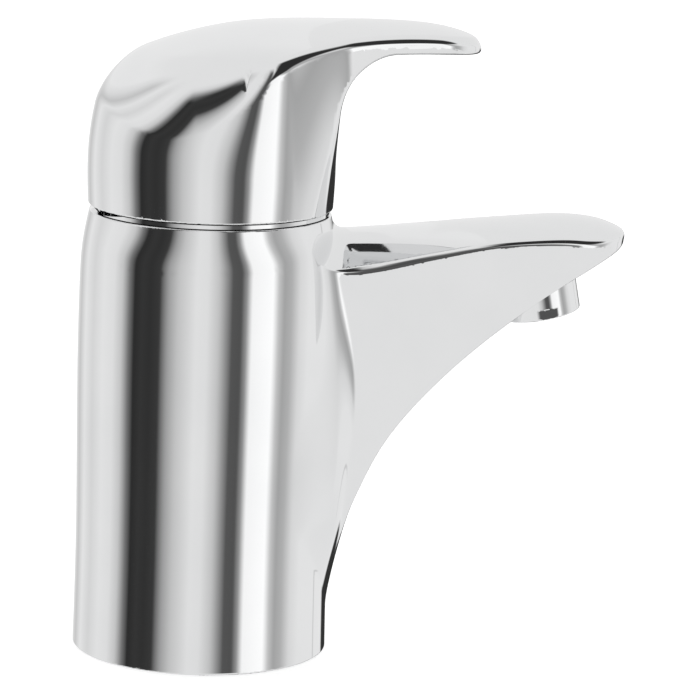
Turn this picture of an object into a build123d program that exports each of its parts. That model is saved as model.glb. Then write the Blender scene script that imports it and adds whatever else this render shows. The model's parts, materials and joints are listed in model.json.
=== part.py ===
"""Single-lever bathroom mixer: cast body with spout, ceramic cartridge, rear-hinged lever and aerator.

Frame: millimetres, +Z up, origin at the centre of the round foot on the deck, +X along the spout.
"""
from build123d import *
import math
import os

# ---------------------------------------------------------------- driving dimensions
FOOT_R = 27.0               # round foot on the deck
BELLY_R, BELLY_Z = 27.2, 60.0
SHOULDER_Z = 82.0           # where the column starts to round in
BODY_TOP = 93.4             # top face of the casting
BODY_TOP_R = 25.3
SEAM = 1.6                  # open seam under the lever
RIM_Z = BODY_TOP + SEAM
RIM_R = 25.7                # outside of the lever skirt
SKIRT_R = 26.0
WALL = 2.2
LIFT = 15.0                 # degrees the lever opens

DRAFT = 7.5                 # degrees, sides of spout and lever lean in towards the underside
SPOUT_PLAN_Z = 96.0         # height at which the spout plan is drawn
SPOUT_REACH = 91.0          # axis to the tip in that plan, 90 mm at the tip itself
SPOUT_TAPER = 9.5           # degrees, plan taper of each side
SPOUT_NOSE_X = 78.8
LEVER_PLAN_Z = 131.0
LEVER_REACH = 56.7
LEVER_LOW, LEVER_HIGH = 104.0, 136.0    # heights between which the lever blade is drawn

CAVITY_R, CAVITY_TOP = 23.0, 46.0       # hollow foot
GASKET_R, GASKET_WIDTH, GASKET_HIGH = 25.6, 1.5, 1.4
SEAT_Z = 52.0                           # floor that the cartridge stands on
BORE_R = 17.7                           # cartridge bore
STEP_Z = 84.0                           # ledge under the cartridge flange
NUT_R = 20.0                            # retaining nut, outside
INLET_X, INLET_Y = -4.0, 8.0            # hot and cold inlets
INLET_R = 3.0
HOSE_R, HOSE_DEPTH = 5.0, 5.0           # M10x1 hose threads
STUD_R, STUD_X, STUD_DEPTH = 4.0, 12.0, 5.2   # M8 fixing stud thread
OUTLET_X, OUTLET_R = 8.0, 3.5
PIN_R, PIN_Y = 1.25, 14.4

BASE_TOP, DISC_TOP, SLIDER_TOP = 66.0, 70.0, 74.0
PLATE_TOP = 77.0
TOWER_TOP = 89.6
TOWER_HALF = 5.8
BALL_R, BALL_Z = 2.9, 81.0
BALL_GAP = 0.35
DISC_TRAVEL = 4.0
RUN = 0.3                   # clearance between pieces that slide past one another
FIT = 0.05                  # clearance between pieces of one assembly

HINGE_X, HINGE_Z = -21.0, 98.5
HINGE_PIN_R, KNUCKLE_R = 1.25, 2.0
KNUCKLE_HALF, LUG_OUT = 3.4, 7.4
HEAD_Z = 93.8
HEAD_TOP = 96.6
HEAD_R = 18.6
FLANGE_R, FLANGE_TOP = 25.0, 94.6       # bright ring seen down in the seam
SCREW_Y = 10.6

SOCKET_HALF, SOCKET_TOP = 4.0, 119.0    # square socket in the lever for the stem
GRUB_R, GRUB_Z = 2.5, 109.0

AERATOR_X, AERATOR_Z = 72.4, 71.3       # centre of the outlet rim
AERATOR_TILT = 11.0                     # degrees, outlet leans forward
AERATOR_R, AERATOR_WALL = 8.8, 1.2
AERATOR_LEN = 15.0
FLATS = 17.0                            # spanner flats

SPOUT_CREST = [(0, 89.6, 45), (29, 89.9, 45), (48, 90.4, 74), (62, 91.1, 84), (72, 92.0, 74),
               (80, 92.2, 62), (86, 91.4, 56), (96, 87.6, 50)]        # x, height, crown radius
LEVER_CREST = [(-4, 131.7, 28), (6, 133.4, 36), (14, 133.95, 46), (24, 134.1, 56),
               (34, 134.0, 62), (44, 133.6, 66), (54, 132.7, 66), (62, 131.2, 66)]
LEVER_HALF = [(0, 18.4), (8, 19.6), (14, 19.4), (20, 18.4), (26, 17.0), (32, 15.6), (40, 14.3), (47, 13.4)]
DOME = [(26.05, 103.5, 0), (25.75, 111.0, 5), (24.5, 117.8, 17), (22.2, 122.8, 35), (17.4, 127.2, 56),
        (10.3, 130.2, 73)]                             # radius, height, lean of the surface in degrees
DOME_TOP = 132.1


# ---------------------------------------------------------------- helpers
def disc(radius, low, high, x=0.0, y=0.0):
    """Upright cylinder between two heights."""
    return Pos(x, y, (low + high) / 2) * Cylinder(radius, high - low)


def ring(outer, inner, low, high, x=0.0, y=0.0):
    return disc(outer, low, high, x, y) - disc(inner, low - 1, high + 1, x, y)


def block(x0, x1, y0, y1, z0, z1):
    return Pos((x0 + x1) / 2, (y0 + y1) / 2, (z0 + z1) / 2) * Box(x1 - x0, y1 - y0, z1 - z0)


def rod_along(start, end, radius):
    """Round rod from one point to another."""
    axis = Vector(*end) - Vector(*start)
    plane = Plane(origin=Vector(*start), z_dir=axis)
    return extrude(plane * Circle(radius), axis.length)


def plan_shape(root_r, taper, nose_x, reach):
    """Round root with two tangent sides that taper to a rounded nose."""
    s, c = math.sin(math.radians(taper)), math.cos(math.radians(taper))
    nose_y = (root_r - nose_x * s) / c
    side = [Line((root_r * s, k * root_r * c), (nose_x, k * nose_y)) for k in (1, -1)]
    nose = ThreePointArc((nose_x, nose_y), (reach, 0), (nose_x, -nose_y))
    back = ThreePointArc((root_r * s, root_r * c), (-root_r, 0), (root_r * s, -root_r * c))
    return make_face(Wire([back, side[0], nose, side[1]]))


def crowned(sections, floor, half=32.0):
    """Solid under a crowned surface, from arcs across the part at stations along X."""
    faces = []
    for x, crest, radius in sections:
        plane = Plane(origin=(x, 0, 0), x_dir=(0, 1, 0), z_dir=(1, 0, 0))
        span = min(half, radius * 0.93)
        low = crest - radius + math.sqrt(radius * radius - span * span)
        top = ThreePointArc((-span, low), (0, crest), (span, low))
        sides = Polyline((span, low), (span, floor), (-span, floor), (-span, low))
        faces.append(plane * make_face(Wire([top] + list(sides.edges()))))
    return loft(faces)


def side_region(outline, half=40.0):
    """Area in the XZ plane, extruded both ways in Y."""
    return extrude(Plane.XZ * outline, half, both=True)


# ---------------------------------------------------------------- body casting
def column():
    shoulder = ThreePointArc((BELLY_R - 0.1, SHOULDER_Z), (26.6, 89.4), (BODY_TOP_R, BODY_TOP))
    flank = Spline((FOOT_R, 0), (26.9, 20), (BELLY_R, BELLY_Z), (BELLY_R - 0.1, SHOULDER_Z),
                   tangents=((-0.01, 1), (-0.06, 1)))
    rest = Polyline((BODY_TOP_R, BODY_TOP), (0, BODY_TOP), (0, 0), (FOOT_R, 0))
    profile = make_face(Wire([flank, shoulder] + list(rest.edges())))
    return revolve(Plane.XZ * profile, Axis.Z)


def spout():
    plan = Plane(origin=(0, 0, SPOUT_PLAN_Z), z_dir=(0, 0, -1), x_dir=(1, 0, 0)) * plan_shape(
        BELLY_R, SPOUT_TAPER, SPOUT_NOSE_X, SPOUT_REACH)
    blade = extrude(plan, SPOUT_PLAN_Z, taper=DRAFT)
    foot, lip_start, lip_end = (25.2, 0), (80.5, 83.0), (SPOUT_REACH + 0.4, 87.2)
    under = Spline(foot, (27.2, 26), (35.1, 45), (50.2, 62.0), (64.9, 73.4), lip_start,
                   tangents=((0, 1), (0.9, 0.42)))
    lip = ThreePointArc(lip_start, (85.4, 85.2), lip_end)
    rest = Polyline(lip_end, (lip_end[0], 120), (0, 120), (0, 0), foot)
    region = side_region(make_face(Wire([under, lip] + list(rest.edges()))))
    return blade & region & crowned(SPOUT_CREST, -5)


def waterway():
    points = [(14, 0, 57.5), (42, 0, 76), (69, 0, 84.5)]
    path = rod_along(points[0], points[1], 4.4) + rod_along(points[1], points[2], 4.4)
    return path + Pos(*points[1]) * Sphere(4.4)


def aerator_place():
    return Pos(AERATOR_X, 0, AERATOR_Z) * Rot(0, -AERATOR_TILT, 0)


def body_casting():
    outer = column() + spout()
    cavity = disc(CAVITY_R, -1, CAVITY_TOP)
    bore = disc(BORE_R, SEAT_Z, STEP_Z + 1) + disc(NUT_R + FIT, STEP_Z, BODY_TOP + 5)
    inlets = Part()
    for side in (-1, 1):
        inlets += disc(INLET_R, CAVITY_TOP - 1, SEAT_Z + 1, INLET_X, side * INLET_Y)
        inlets += disc(HOSE_R, CAVITY_TOP - 1, CAVITY_TOP + HOSE_DEPTH, INLET_X, side * INLET_Y)
    stud = disc(STUD_R, CAVITY_TOP - 1, CAVITY_TOP + STUD_DEPTH, STUD_X, 0)
    socket = aerator_place() * Pos(0, 0, AERATOR_LEN / 2) * Cylinder(AERATOR_R + FIT, AERATOR_LEN)
    pins = Part()
    for side in (-1, 1):
        pins += disc(PIN_R + FIT, SEAT_Z - 2.6, SEAT_Z + 1, 0, side * PIN_Y)
    groove = ring(GASKET_R + FIT, GASKET_R - GASKET_WIDTH - FIT, -1, GASKET_HIGH)
    return outer - cavity - bore - inlets - stud - waterway() - socket - pins - groove


# ---------------------------------------------------------------- cartridge
def port_seals():
    seals = Part()
    for side in (-1, 1):
        seals += ring(5.2, 3.1, SEAT_Z, SEAT_Z + 1.2, INLET_X, side * INLET_Y)
    return seals


def cartridge_base():
    body = disc(BORE_R - RUN, SEAT_Z + 0.2, BASE_TOP)
    for side in (-1, 1):
        body -= disc(5.2 + FIT, SEAT_Z, SEAT_Z + 1.2, INLET_X, side * INLET_Y)
        body -= disc(INLET_R, SEAT_Z, BASE_TOP + 1, INLET_X, side * INLET_Y)
    body -= disc(OUTLET_R, SEAT_Z + 4, BASE_TOP + 1, OUTLET_X, 0)
    body -= rod_along((OUTLET_X, 0, SEAT_Z + 4 + OUTLET_R), (30, 0, SEAT_Z + 4 + OUTLET_R), OUTLET_R)
    body -= ring(30, BORE_R - 2.4, 61.5, 64.1)
    for side in (-1, 1):
        body -= disc(PIN_R + FIT, SEAT_Z - 1, SEAT_Z + 2.6, 0, side * PIN_Y)
    return body


def locating_pins():
    pins = Part()
    for side in (-1, 1):
        pins += disc(PIN_R, SEAT_Z - 2.4, SEAT_Z + 2.4, 0, side * PIN_Y)
    return pins


def body_o_ring():
    return ring(BORE_R - FIT, BORE_R - 2.35, 61.7, 63.9)


def fixed_disc():
    plate = disc(14.0, BASE_TOP, DISC_TOP)
    for side in (-1, 1):
        plate -= disc(INLET_R, BASE_TOP - 1, DISC_TOP + 1, INLET_X, side * INLET_Y)
    return plate - disc(OUTLET_R, BASE_TOP - 1, DISC_TOP + 1, OUTLET_X, 0)


def moving_disc():
    plate = disc(11.0, DISC_TOP, SLIDER_TOP, -1.5)
    return plate - disc(5.2, DISC_TOP - 1, DISC_TOP + 2, 1.5)


def disc_carrier():
    plate = disc(11.0, SLIDER_TOP, PLATE_TOP, -1.5)
    tower = block(-TOWER_HALF, TOWER_HALF, -TOWER_HALF, TOWER_HALF, PLATE_TOP - 1, TOWER_TOP)
    half = BALL_R + BALL_GAP
    pocket = block(-half, half, -half, half, BALL_Z - BALL_R - 0.4, TOWER_TOP + 1)
    return plate + tower - pocket


def cartridge_housing():
    can = ring(BORE_R - RUN, 16.0, BASE_TOP, 88.0)
    flange = ring(NUT_R - RUN, 16.0, STEP_Z, STEP_Z + 2.6)
    lip = ring(16.5, 14.05, BASE_TOP, 68.0)
    return can + flange + lip


def rotor():
    turning = disc(15.6, PLATE_TOP + RUN, HEAD_Z)
    slot = block(-TOWER_HALF - RUN, TOWER_HALF + DISC_TRAVEL + 0.5, -TOWER_HALF - RUN,
                 TOWER_HALF + RUN, PLATE_TOP, HEAD_Z + 1)
    screws = Part()
    for side in (-1, 1):
        screws += disc(1.25, HEAD_Z - 8.2, HEAD_Z + 1, 0, side * SCREW_Y)
    return turning - slot - screws


def limit_ring():
    return ring(17.6, 15.9, 88.0, 90.4)


def retaining_nut():
    low = STEP_Z + 2.6
    body = ring(NUT_R, 18.0, low, 92.6) + ring(19.0, 16.0, 90.7, 92.6)
    for angle in range(0, 360, 60):
        body -= Rot(0, 0, angle) * block(18.3, 22, -1.6, 1.6, 91.1, 94)
    return body


def swivel_head():
    plate = disc(HEAD_R, HEAD_Z, HEAD_TOP)
    tongue = block(HINGE_X, -10, -KNUCKLE_HALF, KNUCKLE_HALF, HEAD_Z, HEAD_TOP + 1.0)
    knuckle = Pos(HINGE_X, 0, HINGE_Z) * Rot(90, 0, 0) * Cylinder(KNUCKLE_R, 2 * KNUCKLE_HALF)
    web = block(HINGE_X - 1.2, HINGE_X + 3.4, -KNUCKLE_HALF, KNUCKLE_HALF, HEAD_TOP - 2.0, HINGE_Z)
    head = plate + tongue + knuckle + web + disc(FLANGE_R, HEAD_Z, FLANGE_TOP)
    lowered_rim = ring(27, 22.6, -0.3, 6) & block(-30, -12, -30, 30, -1, 7)
    hinge = Pos(HINGE_X, 0, HINGE_Z)
    head -= hinge * Rot(0, -LIFT, 0) * hinge.inverse() * Pos(0, 0, RIM_Z) * lowered_rim
    head -= Pos(HINGE_X, 0, HINGE_Z) * Rot(90, 0, 0) * Cylinder(HINGE_PIN_R + FIT, 20)
    head -= block(-4.6, 5.6, -3.6, 3.6, HEAD_Z - 1, HEAD_TOP + 1)
    for side in (-1, 1):
        head -= disc(1.5, HEAD_Z - 1, HEAD_TOP + 1, 0, side * SCREW_Y)
        head -= disc(2.8, HEAD_TOP - 1.6, HEAD_TOP + 1, 0, side * SCREW_Y)
    return head


def head_screws():
    group = Part()
    for side in (-1, 1):
        y = side * SCREW_Y
        group += disc(1.2, HEAD_Z - 8.0, HEAD_TOP - 1.0, 0, y) + disc(2.7, HEAD_TOP - 1.6, HEAD_TOP - 0.1, 0, y)
        group -= Pos(0, y, HEAD_TOP) * Box(4.0, 0.7, 1.4)
    return group


# ---------------------------------------------------------------- lever
def dome(inset=0.0):
    """Skirt and dome of the lever, or the same shape moved in evenly to make its hollow."""
    rim, top = (RIM_R - inset, RIM_Z), (0, DOME_TOP - inset)
    points = []
    for r, z, lean in DOME:
        points.append((r - inset * math.cos(math.radians(lean)), z - inset * math.sin(math.radians(lean))))
    flank = Spline(rim, *points, top, tangents=((0.04, 1), (-1, 0)))
    rest = Polyline(top, (0, RIM_Z), rim)
    return revolve(Plane.XZ * make_face(Wire([flank] + list(rest.edges()))), Axis.Z)


def lever_section(z):
    """Plan of the lever at one height: round back, flared sides, rounded nose."""
    inset = (LEVER_PLAN_Z - z) * math.tan(math.radians(DRAFT))
    left = [(x, half - inset) for x, half in LEVER_HALF]
    right = [(x, -y) for x, y in left]
    back = ThreePointArc(right[0], (-left[0][1], 0), left[0])
    nose = ThreePointArc(left[-1], (LEVER_REACH - inset, 0), right[-1])
    return Pos(0, 0, z) * make_face(Wire([back, Spline(*left), nose, Spline(*reversed(right))]))


def lever_blade():
    blade = loft([lever_section(LEVER_LOW), lever_section(LEVER_HIGH)], ruled=True)
    foot, tip = (21.4, 108), (60, 127.7)
    under = Spline(foot, (22.6, 116.0), (24.8, 121.8), (28.6, 126.0), (35.0, 128.3), (43.0, 128.75),
                   (53.3, 128.2), tip, tangents=((0.05, 1), (1, -0.1)))
    rest = Polyline(tip, (60, 150), (0, 150), (0, 108), foot)
    region = side_region(make_face(Wire([under] + list(rest.edges()))))
    return blade & region & crowned(LEVER_CREST, 100, 24)


def hinge_lugs():
    lugs = Part()
    for side in (-1, 1):
        y0, y1 = sorted((side * (KNUCKLE_HALF + RUN), side * LUG_OUT))
        lugs += block(HINGE_X - 2.2, HINGE_X + 2.2, y0, y1, HINGE_Z - 1.8, HINGE_Z + 14)
    return lugs


def stem_boss():
    return block(-7.5, 7.5, -7.0, 7.0, 104.0, 130.0)


def handle():
    shell = dome() + lever_blade() - dome(WALL)
    inside = (hinge_lugs() + stem_boss()) & dome(WALL / 2)
    lever = shell + inside
    lever -= Pos(HINGE_X, 0, HINGE_Z) * Rot(90, 0, 0) * Cylinder(HINGE_PIN_R, 2 * LUG_OUT + 1)
    lever -= block(-SOCKET_HALF, SOCKET_HALF, -SOCKET_HALF, SOCKET_HALF, 100, SOCKET_TOP)
    lever -= rod_along((0, 0, GRUB_Z), (40, 0, GRUB_Z), GRUB_R)
    return lever


def hinge_pin():
    return Pos(HINGE_X, 0, HINGE_Z) * Rot(90, 0, 0) * Cylinder(HINGE_PIN_R, 2 * LUG_OUT)


def stem():
    half = SOCKET_HALF - FIT
    shank = block(-half, half, -half, half, 101.0, SOCKET_TOP - 0.2)
    finger = disc(1.8, BALL_Z, 102.0)
    return shank + finger + Pos(0, 0, BALL_Z) * Sphere(BALL_R)


def grub_screw():
    body = rod_along((SOCKET_HALF - FIT, 0, GRUB_Z), (10.5, 0, GRUB_Z), GRUB_R - FIT)
    return body - rod_along((8.0, 0, GRUB_Z), (11, 0, GRUB_Z), 1.2)


def index_plug():
    face = dome() & rod_along((20, 0, GRUB_Z), (30, 0, GRUB_Z), GRUB_R - FIT)
    return face - block(10, 22.4, -5, 5, 100, 118)


# ---------------------------------------------------------------- aerator
def aerator_housing():
    shell = Pos(0, 0, AERATOR_LEN / 2 - 0.4) * Cylinder(AERATOR_R, AERATOR_LEN - 0.8)
    shell -= Pos(0, 0, AERATOR_LEN / 2) * Cylinder(AERATOR_R - AERATOR_WALL, AERATOR_LEN + 2)
    shell += Pos(0, 0, 0.6) * (Cylinder(AERATOR_R, 1.2) - Cylinder(6.6, 3))
    for side in (-1, 1):
        shell -= Pos(0, side * (FLATS / 2 + 2), 1.1) * Box(12, 4, 2.2)
    return aerator_place() * shell


def aerator_insert():
    core = Pos(0, 0, 5.4) * Cylinder(AERATOR_R - AERATOR_WALL - FIT, 8.0)
    core -= Pos(0, 0, 8.4) * Cylinder(6.4, 4)
    for turn in range(0, 360, 30):
        core -= Rot(0, 0, turn) * Pos(4.6, 0, 4) * Cylinder(0.8, 12)
    return aerator_place() * core


def mesh_screen():
    sheet = Pos(0, 0, 9.75) * Cylinder(AERATOR_R - AERATOR_WALL - FIT, 0.6)
    for i in range(-3, 4):
        for j in range(-3, 4):
            if math.hypot(i, j) < 3.3:
                sheet -= Pos(i * 1.6, j * 1.6, 9.75) * Box(1.0, 1.0, 2)
    return aerator_place() * sheet


def aerator_washer():
    band = Pos(0, 0, AERATOR_LEN - 0.4) * (Cylinder(AERATOR_R - FIT, 0.8) - Cylinder(6.2, 2))
    return aerator_place() * band


def base_gasket():
    return ring(GASKET_R, GASKET_R - GASKET_WIDTH, 0, GASKET_HIGH)


PARTS = {
    "body_casting": body_casting,
    "handle": handle,
    "hinge_pin": hinge_pin,
    "stem": stem,
    "grub_screw": grub_screw,
    "index_plug": index_plug,
    "swivel_head": swivel_head,
    "head_screws": head_screws,
    "rotor": rotor,
    "limit_ring": limit_ring,
    "retaining_nut": retaining_nut,
    "cartridge_housing": cartridge_housing,
    "cartridge_base": cartridge_base,
    "locating_pins": locating_pins,
    "port_seals": port_seals,
    "body_o_ring": body_o_ring,
    "fixed_disc": fixed_disc,
    "moving_disc": moving_disc,
    "disc_carrier": disc_carrier,
    "aerator_housing": aerator_housing,
    "aerator_insert": aerator_insert,
    "mesh_screen": mesh_screen,
    "aerator_washer": aerator_washer,
    "base_gasket": base_gasket,
}

os.makedirs("parts", exist_ok=True)
for name, make in PARTS.items():
    solid = make()
    export_step(solid, f"parts/{name}.step")
    print(name, len(solid.solids()), round(solid.volume))
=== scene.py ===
"""Single-lever bathroom mixer, chrome: visible skins, materials, studio and camera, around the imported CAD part."""

import json
import math

import bpy
import numpy as np
from mathutils import Matrix, Vector


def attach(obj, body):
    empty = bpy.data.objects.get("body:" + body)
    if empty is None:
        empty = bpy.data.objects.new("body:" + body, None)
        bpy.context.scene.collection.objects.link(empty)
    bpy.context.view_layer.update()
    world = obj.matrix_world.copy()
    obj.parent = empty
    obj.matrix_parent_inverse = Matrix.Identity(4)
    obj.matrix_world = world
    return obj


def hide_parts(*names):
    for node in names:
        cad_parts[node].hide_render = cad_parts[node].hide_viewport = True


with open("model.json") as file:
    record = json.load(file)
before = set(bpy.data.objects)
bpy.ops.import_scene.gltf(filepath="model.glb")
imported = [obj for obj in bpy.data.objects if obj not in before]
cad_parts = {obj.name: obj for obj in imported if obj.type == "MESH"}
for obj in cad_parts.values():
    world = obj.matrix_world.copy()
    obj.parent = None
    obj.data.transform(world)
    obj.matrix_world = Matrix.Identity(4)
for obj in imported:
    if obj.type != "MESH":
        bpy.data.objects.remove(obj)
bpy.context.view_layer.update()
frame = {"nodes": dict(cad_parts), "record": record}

# ------------------------------------------------------------------ dimensions, millimetres
BODY_TOP, RIM_Z = 93.6, 94.9            # the faces on either side of the seam
DRAFT = math.radians(7.5)               # sides of spout and lever lean in towards the underside
SPOUT_PLAN_Z, LEVER_PLAN_Z = 96.0, 131.0
SPOUT_PLAN = (17.6, 14.6, 76.4)         # root radius, nose radius, distance between them
LEVER_TIP, LEVER_NOSE = 56.7, 11.5
UNDERSIDE_BEND = 11.0                   # radius where the lever's underside turns down
WALL = 2.2                              # thickness of the lever's shell
CAVITY_R, CAVITY_TOP = 23.0, 46.0       # hollow foot
SEAT_Z, BORE_R = 52.0, 17.7             # cartridge bore
LEDGE_Z, NUT_BORE_R = 84.0, 20.05
STUD_X, STUD_R, STUD_TOP = 12.0, 4.0, 51.2
INLET_X, INLET_Y, INLET_R = -4.0, 8.0, 3.0
HOSE_R, HOSE_TOP = 5.0, 51.0
HINGE_X, HINGE_Z, HINGE_PIN_R = -21.0, 98.5, 1.25
LUG_HALF, LUG_IN, LUG_OUT = 2.2, 3.7, 7.4
SOCKET_HALF, SOCKET_TOP = 4.0, 119.0    # square socket for the stem
GRUB_R, GRUB_Z = 2.5, 109.0
AERATOR_X, AERATOR_Z, AERATOR_TILT = 72.4, 71.3, math.radians(11.0)
AERATOR_R, AERATOR_TOP, SOCKET_GAP = 8.8, 14.2, 0.05
FLAT_HALF, FLAT_TOP = 8.5, 2.2          # spanner flats
FAR = 99.0                              # well clear above any face that a cut opens


def curve(*knots):
    """Smooth function through (place, value) knots, straight beyond the ends."""
    t, v = np.array(knots, float).T
    n, h = len(t), np.diff(np.array(knots, float)[:, 0])
    a, b = np.eye(n), np.zeros(n)
    for i in range(1, n - 1):
        a[i, i - 1:i + 2] = h[i - 1] / 6, (h[i - 1] + h[i]) / 3, h[i] / 6
        b[i] = (v[i + 1] - v[i]) / h[i] - (v[i] - v[i - 1]) / h[i - 1]
    m = np.linalg.solve(a, b)
    low = (v[1] - v[0]) / h[0] - m[1] * h[0] / 6
    high = (v[-1] - v[-2]) / h[-1] + m[-2] * h[-1] / 6

    def at(x):
        s = np.clip(x, t[0], t[-1])
        i = np.clip(np.searchsorted(t, s) - 1, 0, n - 2)
        u, w, g = s - t[i], t[i + 1] - s, h[i]
        y = (m[i] * w * w * w + m[i + 1] * u * u * u) / (6 * g)
        y = y + (v[i] / g - m[i] * g / 6) * w + (v[i + 1] / g - m[i + 1] * g / 6) * u
        return y + (x - s) * np.where(x < t[0], low, high)
    return at


def ramp(x, a, b):
    """0 below a, 1 above b, smooth between."""
    s = np.clip((x - a) / (b - a), 0, 1)
    return s * s * (3 - 2 * s)


def both(a, b, r):
    """Where two solids overlap, with the edge between them rounded to radius r."""
    return np.minimum(-r, np.maximum(a, b)) + np.hypot(np.maximum(r + a, 0), np.maximum(r + b, 0))


def either(a, b, r):
    """Two solids together, with the corner between them filled to radius r."""
    return np.maximum(r, np.minimum(a, b)) - np.hypot(np.maximum(r - a, 0), np.maximum(r - b, 0))


def without(a, b, r):
    """One solid less another, with the edge of the cut rounded to radius r."""
    return both(a, -b, r)


def upright(x, y, z, radius, low, high, at_x=0.0, at_y=0.0):
    """Upright cylinder between two heights."""
    return np.maximum(np.hypot(x - at_x, y - at_y) - radius, np.maximum(low - z, z - high))


def plan(x, y, root, nose, length):
    """Seen from above: a circle at the origin and a smaller one ahead, with tangent sides."""
    s = (root - nose) / length
    c = math.sqrt(1 - s * s)
    y = np.abs(y)
    k = c * x - s * y
    side = c * y + s * x - root
    return np.where(k < 0, np.hypot(x, y) - root, np.where(k > c * length, np.hypot(x - length, y) - nose, side))


def box(x, y, z, x0, x1, y0, y1, z0, z1):
    return np.maximum(np.maximum(np.maximum(x0 - x, x - x1), np.maximum(y0 - y, y - y1)), np.maximum(z0 - z, z - z1))


# ------------------------------------------------------------------ body: curves by height or by place along X
column_r = curve((0, 27.0), (22, 26.78), (60, 27.2), (78, 27.1), (86.5, 26.65), (93.4, 25.45))
spout_crest = curve((20, 89.4), (29, 89.7), (36, 90.0), (43, 90.4), (50, 90.8), (57, 91.2), (64, 91.6),
                    (70, 92.0), (76, 92.3), (82, 92.0), (87, 90.9), (91, 89.0))
spout_crown = curve((20, 0.062), (28, 0.060), (35, 0.054), (42, 0.044), (50, 0.034), (57, 0.0265),
                    (64, 0.0235), (78, 0.0225), (92, 0.022))
spout_brow = curve((20, 0), (52, 0), (62, 0.3), (72, 2.1), (80, 5.4), (88, 9.5), (94, 10))
spout_under = curve((-6, 23.5), (6, 25.0), (16, 26.9), (26, 29.2), (34.8, 32.4), (45, 37.3), (55.2, 45.2),
                    (66.2, 56.7), (73.4, 65.9), (81.9, 78.7), (85.0, 85.0), (87.2, 91.4))
CROWN_LIMIT = 9.5                       # the top falls no further than this to its sides


def spout_top(x, y, z):
    """Distance above the crowned top."""
    crown, brow = spout_crown(x), np.maximum(spout_brow(x), 0) * 1e-5
    fall = y * crown + 4 * brow * y ** 3
    slope = spout_crest(x + 0.5) - spout_crest(x - 0.5)
    drop = y * y * crown / 2 + brow * y ** 4
    drop = drop / (1 + (drop / CROWN_LIMIT) ** 4) ** 0.25
    return (z - spout_crest(x) + drop) / np.sqrt(1 + fall ** 2 + slope ** 2)


def spout_walls(x, y, z):
    """Distance outside the sides, nose and underside."""
    side = (plan(x, y, *SPOUT_PLAN) + (SPOUT_PLAN_Z - z) * math.tan(DRAFT)) * math.cos(DRAFT)
    lean = (spout_under(z + 0.05) - spout_under(z - 0.05)) / 0.1
    return both(side, (x - spout_under(z)) / np.sqrt(1 + lean * lean), 0.8)


def aerator_axes(x, y, z):
    """Distance from the outlet's leaning axis, and height along it from its rim."""
    s, c = math.sin(AERATOR_TILT), math.cos(AERATOR_TILT)
    u = c * (x - AERATOR_X) + s * (z - AERATOR_Z)
    w = -s * (x - AERATOR_X) + c * (z - AERATOR_Z)
    return np.hypot(u, y), w


def body_hollows(x, y, z):
    """Foot cavity, cartridge bore, threads, inlets and outlet socket."""
    r, w = aerator_axes(x, y, z)
    hollows = [
        upright(x, y, z, CAVITY_R, -9, CAVITY_TOP),
        upright(x, y, z, NUT_BORE_R, LEDGE_Z, FAR),
        upright(x, y, z, BORE_R, SEAT_Z, FAR),
        upright(x, y, z, STUD_R, CAVITY_TOP - 6, STUD_TOP, STUD_X),
        np.maximum(r - AERATOR_R - SOCKET_GAP, np.maximum(-6 - w, w - 15)),
    ]
    for side in (-1, 1):
        hollows.append(upright(x, y, z, HOSE_R, CAVITY_TOP - 6, HOSE_TOP, INLET_X, side * INLET_Y))
        hollows.append(upright(x, y, z, INLET_R, CAVITY_TOP - 6, SEAT_Z + 2, INLET_X, side * INLET_Y))
    return np.minimum.reduce(hollows)


def body(x, y, z):
    column = np.hypot(x, y) - column_r(z)
    turn = np.degrees(np.arctan2(x, np.abs(y) + 1e-9))     # 0 at the sides, 90 at the front
    fill = (2.5 + 10.5 * (1 - ramp(z, 34, 86)) * (1 - ramp(turn, 60, 84))) * ramp(z, 0, 30) + 0.3
    walls = either(column, spout_walls(x, y, z), fill)
    joined = both(either(column, spout_top(x, y, z), 3.2), walls, 0.02 + ramp(x, 20, 30))
    outer = both(both(joined, z - BODY_TOP, 0.22), -z, 0.3)
    return without(outer, body_hollows(x, y, z), 0.25)


# ------------------------------------------------------------------ lever
skirt_r = curve((92, 25.55), (95, 25.7), (102, 25.97), (108, 25.8), (114, 25.05), (120, 23.75), (128, 21.5),
                (136, 19.0))
lever_crest = curve((-28, 122.3), (-17.4, 127.0), (-10.3, 129.7), (-1.8, 132.0), (5, 133.2), (12, 133.8),
                    (22, 134.0), (34, 133.85), (44, 133.4), (50, 132.6), (54, 131.5), (57, 130.2),
                    (60, 128.6))
lever_crown = curve((-30, 0.034), (-6, 0.030), (4, 0.0235), (10, 0.0205), (15, 0.0185), (20, 0.0175),
                    (30, 0.0162), (42, 0.0150), (60, 0.0150))
lever_edge = curve((-30, 7.0), (-6, 6.5), (1, 5.4), (5, 4.0), (8, 2.8), (12, 2.2), (16, 1.9), (27, 1.9),
                   (40, 2.0), (60, 2.0))
lever_half = curve((-6, 24.5), (4, 24.4), (10, 22.7), (15, 20.8), (20, 19.0), (25, 17.4), (30, 16.0),
                   (40, 14.3), (50, 13.0), (60, 12.2))
lever_wall = curve((98, 19.0), (106, 21.0), (114, 22.8), (123, 24.1), (135, 25.8))
lever_under = curve((20, 126.5), (30, 128.0), (42.8, 128.4), (53.3, 127.8), (60, 127.0))


def lever_top(x, y, z):
    """Distance above the crowned top."""
    crown = lever_crown(x)
    slope = lever_crest(x + 0.5) - lever_crest(x - 0.5)
    return (z - lever_crest(x) + y * y * crown / 2) / np.sqrt(1 + (y * crown) ** 2 + slope ** 2)


def dome(x, y, z):
    return both(np.hypot(x, y) - skirt_r(z), lever_top(x, y, z), np.maximum(lever_edge(x), 1.0))


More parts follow.
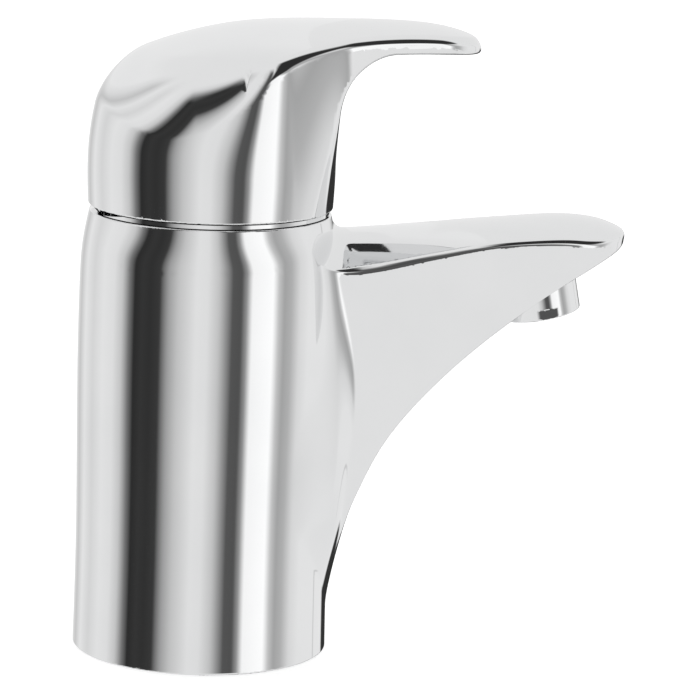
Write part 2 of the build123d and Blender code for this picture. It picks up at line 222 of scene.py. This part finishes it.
def lever_blade(x, y, z):
    """Flared sides and rounded tip, cut away below."""
    flare = lever_half(x + 0.5) - lever_half(x - 0.5)
    draft = math.tan(DRAFT) * ramp(x, 4, 28)
    side = (np.abs(y) - lever_half(x) + (LEVER_PLAN_Z - z) * draft) / np.sqrt(1 + flare ** 2 + draft ** 2)
    blade = np.maximum(both(side, x - LEVER_TIP, LEVER_NOSE), 2 - x)
    below = both(lever_wall(z) - x, z - lever_under(x), UNDERSIDE_BEND)
    return without(blade, below, 0.9)


def lever_hollow(x, y, z):
    """Inside of the shell, round the boss for the stem and the lugs for the hinge pin."""
    inner = dome(x, y, z) + WALL
    boss = box(x, y, z, -7.5, 7.5, -7, 7, 104, 140)
    lugs = box(x, np.abs(y), z, HINGE_X - LUG_HALF, HINGE_X + LUG_HALF, LUG_IN, LUG_OUT, HINGE_Z - 1.8, 112)
    return without(inner, np.minimum(boss, lugs), 0.3)


def lever_holes(x, y, z):
    """Stem socket, grub screw hole and hinge pin hole."""
    socket = box(x, y, z, -SOCKET_HALF, SOCKET_HALF, -SOCKET_HALF, SOCKET_HALF, 90, SOCKET_TOP)
    grub = np.maximum(np.hypot(y, z - GRUB_Z) - GRUB_R, np.maximum(-x, x - 40))
    hinge = np.maximum(np.hypot(x - HINGE_X, z - HINGE_Z) - HINGE_PIN_R, np.abs(y) - 9)
    return np.minimum(np.minimum(socket, grub), hinge)


def lever(x, y, z):
    ahead = ramp(x, -8, 12)             # towards the spout the skirt stays upright
    skirt = np.hypot(x, y) - skirt_r(z - ahead * np.maximum(z - 104, 0))
    sides = either(skirt, lever_blade(x, y, z), 0.3 + 4.7 * ramp(x, 6, 24))
    outer = both(sides, lever_top(x, y, z), np.maximum(lever_edge(x), 1.0))
    outer = both(outer, RIM_Z - z, 0.2)
    return without(without(outer, lever_hollow(x, y, z), 0.2), lever_holes(x, y, z), 0.15)


# ------------------------------------------------------------------ aerator shell
def aerator(x, y, z):
    r, w = aerator_axes(x, y, z)
    shell = both(both(r - AERATOR_R, -w, 0.35), w - AERATOR_TOP, 0.3)
    bore = np.minimum(np.maximum(r - 6.6, w - 30), np.maximum(r - 7.6, 1.2 - w))
    flat = np.maximum(FLAT_HALF - np.abs(y), w - FLAT_TOP)
    return without(without(shell, bore, 0.2), flat, 0.12)


# ------------------------------------------------------------------ meshing
def gradient(shape, p, e=0.01):
    """Which way the distance to the surface grows, at each point."""
    g = np.empty_like(p)
    for i in range(3):
        q, s = p.copy(), p.copy()
        q[:, i] += e
        s[:, i] -= e
        g[:, i] = (shape(*q.T) - shape(*s.T)) / (2 * e)
    return g


def facing(shape, p):
    """Unit normals."""
    g = gradient(shape, p)
    return g / np.maximum(np.linalg.norm(g, axis=1), 1e-9)[:, None]


def settle(shape, p, reach, steps=3):
    """Moves points onto the surface."""
    for _ in range(steps):
        g = gradient(shape, p)
        f = shape(*p.T)
        step = f[:, None] * g / np.maximum((g * g).sum(1), 1e-6)[:, None]
        long = np.linalg.norm(step, axis=1)
        p = p - step * np.minimum(1, reach / np.maximum(long, 1e-9))[:, None]
    return p


def net(shape, low, high, h):
    """Quads round the surface, one point in each grid cell it crosses."""
    axes = [np.arange(low[i], high[i] + h, h) for i in range(3)]
    value = shape(*np.meshgrid(*axes, indexing="ij"))
    inside = value < 0
    n = [len(a) - 1 for a in axes]
    total, count = np.zeros((*n, 3)), np.zeros(n)

    def part(array, corner):
        return array[tuple(slice(c, c + m) for c, m in zip(corner, n))]

    for axis in range(3):
        for corner in np.ndindex(2, 2, 2):
            if corner[axis]:
                continue
            other = tuple(c + (i == axis) for i, c in enumerate(corner))
            va, vb = part(value, corner), part(value, other)
            cut = (va < 0) != (vb < 0)
            share = np.where(cut, va / np.where(cut, va - vb, 1), 0)
            for i in range(3):
                total[..., i] += np.where(cut, corner[i] + (share if i == axis else 0), 0)
            count += cut
    found = count > 0
    index = np.full(n, -1)
    index[found] = np.arange(found.sum())
    cells = np.argwhere(found)
    points = np.array(low) + (cells + total[found] / count[found][:, None]) * h
    quads = []
    for axis in range(3):
        b, c = (axis + 1) % 3, (axis + 2) % 3
        lo = [slice(None)] * 3
        hi = [slice(None)] * 3
        lo[axis], hi[axis] = slice(0, -1), slice(1, None)
        cut = np.argwhere(inside[tuple(lo)] != inside[tuple(hi)])
        cut = cut[(cut[:, b] > 0) & (cut[:, c] > 0) & (cut[:, b] < n[b]) & (cut[:, c] < n[c])]
        ring = []
        for db, dc in ((1, 1), (0, 1), (0, 0), (1, 0)):
            at = cut.copy()
            at[:, b] -= db
            at[:, c] -= dc
            ring.append(index[tuple(at.T)])
        quad = np.stack(ring, 1)
        quad[~inside[tuple(cut.T)]] = quad[~inside[tuple(cut.T)]][:, ::-1]
        quads.append(quad)
    quads = np.concatenate(quads)
    quads = quads[(quads >= 0).all(1)]
    return points, np.concatenate([quads[:, [0, 1, 2]], quads[:, [0, 2, 3]]])


def relax(points, triangles):
    """Evens out the spacing of the points."""
    total, count = np.zeros_like(points), np.zeros(len(points))
    for i in range(3):
        for j in range(3):
            if i != j:
                np.add.at(total, triangles[:, i], points[triangles[:, j]])
                np.add.at(count, triangles[:, i], 1)
    return points * 0.4 + total / np.maximum(count, 1)[:, None] * 0.6


def refine(shape, points, triangles, turn, shortest):
    """Splits the edges over which the surface turns by more than so many degrees."""
    normals = facing(shape, points)
    sides = np.sort(np.concatenate([triangles[:, [0, 1]], triangles[:, [1, 2]], triangles[:, [2, 0]]]), axis=1)
    edges, where = np.unique(sides, axis=0, return_inverse=True)
    where = where.reshape(3, -1).T
    a, b = edges.T
    bend = np.degrees(np.arccos(np.clip((normals[a] * normals[b]).sum(1), -1, 1)))
    split = (bend > turn) & (np.linalg.norm(points[a] - points[b], axis=1) > shortest)
    middle = np.full(len(edges), -1)
    middle[split] = len(points) + np.arange(split.sum())
    fresh = settle(shape, (points[a[split]] + points[b[split]]) / 2, 0.3)
    points = np.concatenate([points, fresh])
    m = middle[where]
    cut = m >= 0
    made = [triangles[~cut.any(1)]]
    for k in range(3):
        t, e = np.roll(triangles, -k, 1), np.roll(m, -k, 1)
        c = np.roll(cut, -k, 1)
        one = c[:, 0] & ~c[:, 1] & ~c[:, 2]
        v, d = t[one], e[one, 0]
        made += [np.stack([v[:, 0], d, v[:, 2]], 1), np.stack([d, v[:, 1], v[:, 2]], 1)]
        two = c[:, 0] & c[:, 1] & ~c[:, 2]
        v, d, f = t[two], e[two, 0], e[two, 1]
        made += [np.stack([v[:, 1], f, d], 1), np.stack([v[:, 0], d, f], 1)]
        made += [np.stack([v[:, 0], f, v[:, 2]], 1)]
    every = cut.all(1)
    v, e = triangles[every], m[every]
    made += [np.stack([v[:, 0], e[:, 0], e[:, 2]], 1), np.stack([v[:, 1], e[:, 1], e[:, 0]], 1),
             np.stack([v[:, 2], e[:, 2], e[:, 1]], 1), e]
    return points, np.concatenate(made)


def skin(name, shape, low, high, h, rounds, shortest, nodes, body_name):
    """A smooth piece made from its shape, standing for the CAD nodes."""
    points, triangles = net(shape, low, high, h)
    for _ in range(3):
        points = settle(shape, relax(points, triangles), h / 2, 2)
    for turn in rounds:
        points, triangles = refine(shape, points, triangles, turn, shortest)
    points = settle(shape, points, 0.1, 2)
    normals = facing(shape, points)
    mesh = bpy.data.meshes.new(name)
    mesh.from_pydata((points / 1000).tolist(), [], triangles.tolist())
    mesh.update()
    mesh.polygons.foreach_set("use_smooth", [True] * len(mesh.polygons))
    mesh.normals_split_custom_set_from_vertices(normals.tolist())
    piece = bpy.data.objects.new(name, mesh)
    bpy.context.scene.collection.objects.link(piece)
    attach(piece, body_name)
    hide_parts(*nodes)
    print("skin", name, len(points), "points", len(triangles), "triangles")
    return piece


# ------------------------------------------------------------------ node helpers
class Graph:
    """Short names for building a node tree."""

    def __init__(self, tree):
        self.tree = tree

    def add(self, kind, **values):
        node = self.tree.nodes.new(kind)
        for key, value in values.items():
            if hasattr(node, key):
                setattr(node, key, value)
            else:
                self.put(node.inputs[key.replace("_", " ")], value)
        return node

    def put(self, socket, value):
        if isinstance(value, bpy.types.NodeSocket):
            self.tree.links.new(value, socket)
        else:
            socket.default_value = value

    def math(self, what, *values):
        node = self.tree.nodes.new("ShaderNodeMath")
        node.operation = what
        for socket, value in zip(node.inputs, values):
            self.put(socket, value)
        return node.outputs[0]

    def step(self, value, a, b):
        """0 at a, 1 at b, smooth between."""
        node = self.tree.nodes.new("ShaderNodeMapRange")
        node.interpolation_type = "SMOOTHSTEP"
        for key, v in (("Value", value), ("From Min", a), ("From Max", b), ("To Min", 0.0), ("To Max", 1.0)):
            self.put(node.inputs[key], v)
        return node.outputs["Result"]

    def mix(self, share, a, b):
        node = self.tree.nodes.new("ShaderNodeMix")
        node.data_type = "FLOAT"
        for socket, v in ((node.inputs[0], share), (node.inputs[2], a), (node.inputs[3], b)):
            self.put(socket, v)
        return node.outputs[0]

    def colours(self, value, stops):
        node = self.tree.nodes.new("ShaderNodeValToRGB")
        self.put(node.inputs[0], value)
        elements = node.color_ramp.elements
        while len(elements) < len(stops):
            elements.new(0.5)
        for element, (place, colour) in zip(elements, sorted(stops)):
            element.position = place
        for element, (place, colour) in zip(elements, sorted(stops)):
            element.color = (*(colour if isinstance(colour, tuple) else (colour,) * 3), 1)
        return node.outputs[0]


def shade(name, low, high, rough, metal=0.0, scale=300.0, bump=0.00002, detail=6.0, coat=0.0, stretch=(1, 1, 1)):
    """Principled finish whose colour, roughness and surface vary a little with a noise pattern."""
    material = bpy.data.materials.new(name)
    material.use_nodes = True
    g = Graph(material.node_tree)
    shader = material.node_tree.nodes["Principled BSDF"]
    place = g.add("ShaderNodeTexCoord").outputs["Object"]
    mapping = g.add("ShaderNodeMapping", Vector=place, Scale=stretch)
    coarse = g.add("ShaderNodeTexNoise", Vector=mapping.outputs[0], Scale=scale, Detail=detail, Roughness=0.55)
    fine = g.add("ShaderNodeTexNoise", Vector=mapping.outputs[0], Scale=scale * 7, Detail=3.0, Roughness=0.6)
    g.put(shader.inputs["Base Color"], g.colours(coarse.outputs[0], [(0.3, low), (0.7, high)]))
    swing = g.math("SUBTRACT", fine.outputs[0], 0.5)
    g.put(shader.inputs["Roughness"], g.math("MULTIPLY_ADD", swing, rough * 0.5, rough))
    node = g.add("ShaderNodeBump", Strength=0.5, Distance=bump, Height=fine.outputs[0])
    g.put(shader.inputs["Normal"], node.outputs[0])
    shader.inputs["Metallic"].default_value = metal
    shader.inputs["Coat Weight"].default_value = coat
    return material


chrome = shade("chrome", (0.835, 0.84, 0.845), (0.865, 0.868, 0.872), 0.045, metal=1.0, scale=45.0,
               bump=0.0000012, detail=3.0)
brass = shade("brass", (0.62, 0.43, 0.17), (0.74, 0.54, 0.25), 0.28, metal=1.0, scale=400.0)
steel = shade("steel", (0.52, 0.52, 0.53), (0.64, 0.64, 0.65), 0.26, metal=1.0, scale=500.0, stretch=(1, 1, 8))
ivory = shade("cartridge_plastic", (0.72, 0.71, 0.66), (0.79, 0.78, 0.73), 0.42, scale=700.0)
dark = shade("dark_plastic", (0.035, 0.036, 0.04), (0.055, 0.056, 0.06), 0.38, scale=600.0)
rubber = shade("rubber", (0.018, 0.018, 0.019), (0.032, 0.032, 0.033), 0.62, scale=900.0, bump=0.00004)
ceramic = shade("ceramic", (0.80, 0.80, 0.78), (0.88, 0.88, 0.86), 0.16, scale=300.0, coat=0.3)
index = shade("index", (0.36, 0.37, 0.39), (0.44, 0.45, 0.47), 0.30, scale=800.0)
screen = shade("screen", (0.58, 0.59, 0.60), (0.70, 0.71, 0.72), 0.30, metal=1.0, scale=1500.0)
FINISH = {"chrome": chrome, "brass": brass, "steel": steel, "cartridge_plastic": ivory, "dark_plastic": dark,
          "rubber": rubber, "ceramic": ceramic, "index": index, "screen": screen}

for part in frame["record"]["subparts"]:
    materials = frame["nodes"][part["node"]].data.materials
    materials.clear()
    materials.append(FINISH[part["material_slot"]])

pieces = [
    skin("body_skin", body, (-29, -29, -1.5), (91, 29, 95), 1.0, (9, 8, 7), 0.12, ["body_casting"], "body"),
    skin("handle_skin", lever, (-28, -28, 93), (59, 28, 136), 0.9, (9, 9, 9), 0.12, ["handle"], "lever"),
    skin("aerator_skin", aerator, (62, -10, 68), (84, 10, 88), 0.4, (12, 12), 0.06, ["aerator_housing"], "body"),
]
for piece in pieces:
    piece.data.materials.append(chrome)

# ------------------------------------------------------------------ floor
bpy.ops.mesh.primitive_plane_add(size=8.0, location=(0, 0, -0.0002))
floor = bpy.context.object
floor.name = "floor"
floor.visible_glossy = False
pale = bpy.data.materials.new("pale_floor")
pale.use_nodes = True
shader = pale.node_tree.nodes["Principled BSDF"]
shader.inputs["Base Color"].default_value = (0.9, 0.9, 0.9, 1)
shader.inputs["Roughness"].default_value = 0.9
shader.inputs["Emission Color"].default_value = (1, 1, 1, 1)
shader.inputs["Emission Strength"].default_value = 0.55
floor.data.materials.append(pale)

# ------------------------------------------------------------------ studio: pale all round, with dark and white cards
VIEW_SIDE, VIEW_DOWN, VIEW_ROLL = math.radians(-12.7), math.radians(11.44), math.radians(2.0)
world = bpy.data.worlds.new("studio")
bpy.context.scene.world = world
world.use_nodes = True
g = Graph(world.node_tree)
out = world.node_tree.nodes["World Output"]
backdrop = world.node_tree.nodes["Background"]
direction = g.add("ShaderNodeSeparateXYZ", Vector=g.add("ShaderNodeTexCoord").outputs["Generated"])
dx, dy, dz = direction.outputs
turn = g.math("SUBTRACT", g.math("ARCTAN2", dx, g.math("MULTIPLY", dy, -1.0)), VIEW_SIDE)
turn = g.math("WRAP", turn, math.pi, -math.pi)
lean_in = g.math("MULTIPLY_ADD", g.math("MULTIPLY", dz, 1.1), g.step(dz, -0.08, 0.24), 1.0)
turn = g.math("MINIMUM", math.pi, g.math("MAXIMUM", -math.pi, g.math("MULTIPLY", turn, lean_in)))
place = g.math("ADD", g.math("DIVIDE", turn, 2 * math.pi), 0.5)


def card(angle):
    """Place on the ring for an upright chrome face turned by this many degrees from the camera."""
    return (angle + 90) / 180


SOFT, DARK = 0.86, 0.034                # brightness of the open studio and of the black cards
STRIPES = [                             # angle of the face that reflects it, brightness
    (-90, 0.90), (-83, 0.80), (-76, 0.62), (-68, 0.88), (-60, 0.76), (-52, 0.88), (-45, 0.84), (-40, 0.64),
    (-36, 0.20), (-33, 0.028), (-29, 0.040), (-25, 0.034), (-20.5, 0.045), (-16.5, 0.38), (-12, 0.62), (-4, 0.86),
    (1, 0.84), (6, 0.62), (9, 0.34), (12, 0.10), (16, 0.09), (18.5, 0.34), (21, 1.05), (31, 1.15),
    (34, 0.62), (37, 0.42), (41, 0.50), (46, 0.78), (52, 0.88), (75, 0.88), (76.5, DARK), (90, DARK)]
ring = g.colours(place, [(card(angle), brightness) for angle, brightness in STRIPES])
line = g.math("MULTIPLY", g.step(place, card(64.3), card(65)), g.step(place, card(65.9), card(65.2)))
edge_card = g.step(place, card(72), card(74))
above = g.mix(edge_card, g.step(dz, 0.70, 0.88), g.step(dz, -0.17, -0.06))
below = g.math("MULTIPLY", g.step(dz, -0.28, -0.33), g.math("SUBTRACT", 1.0, edge_card))
strip = g.mix(g.math("MULTIPLY", line, 0.35), ring, 0.2)
open_air = g.math("MAXIMUM", above, below)
studio = g.mix(open_air, strip, SOFT)
overhead = g.math("MULTIPLY", g.step(dz, 0.25, 0.40), g.step(dx, 0.08, 0.24))
overhead = g.math("MULTIPLY", overhead, g.step(dy, -0.24, -0.40))
studio = g.mix(overhead, studio, 0.03)
seen = g.add("ShaderNodeLightPath").outputs["Is Camera Ray"]
final = g.mix(seen, studio, 1.0)
g.put(backdrop.inputs["Color"], final)
backdrop.inputs["Strength"].default_value = 1.0

# ------------------------------------------------------------------ camera
look_at = Vector((0, 0, 60))
ASIDE, RISE, AWAY = 30.01, 4.0, 846.0   # millimetres from there to the camera, along its own axes
back = Vector((math.sin(VIEW_SIDE) * math.cos(VIEW_DOWN), -math.cos(VIEW_SIDE) * math.cos(VIEW_DOWN),
               math.sin(VIEW_DOWN)))
flat = Vector((math.cos(VIEW_SIDE), math.sin(VIEW_SIDE), 0))
rise = back.cross(flat)
right = flat * math.cos(VIEW_ROLL) + rise * math.sin(VIEW_ROLL)
up = rise * math.cos(VIEW_ROLL) - flat * math.sin(VIEW_ROLL)
stand = (look_at + right * ASIDE + up * RISE + back * AWAY) / 1000
camera = bpy.data.objects.new("camera", bpy.data.cameras.new("camera"))
bpy.context.scene.collection.objects.link(camera)
camera.matrix_world = Matrix.Translation(stand) @ Matrix((right, up, back)).transposed().to_4x4()
camera.data.sensor_width = 36.0
camera.data.lens = 206.9
camera.data.clip_start, camera.data.clip_end = 0.05, 50.0
bpy.context.scene.camera = camera
bpy.context.scene.view_settings.view_transform = "Standard"
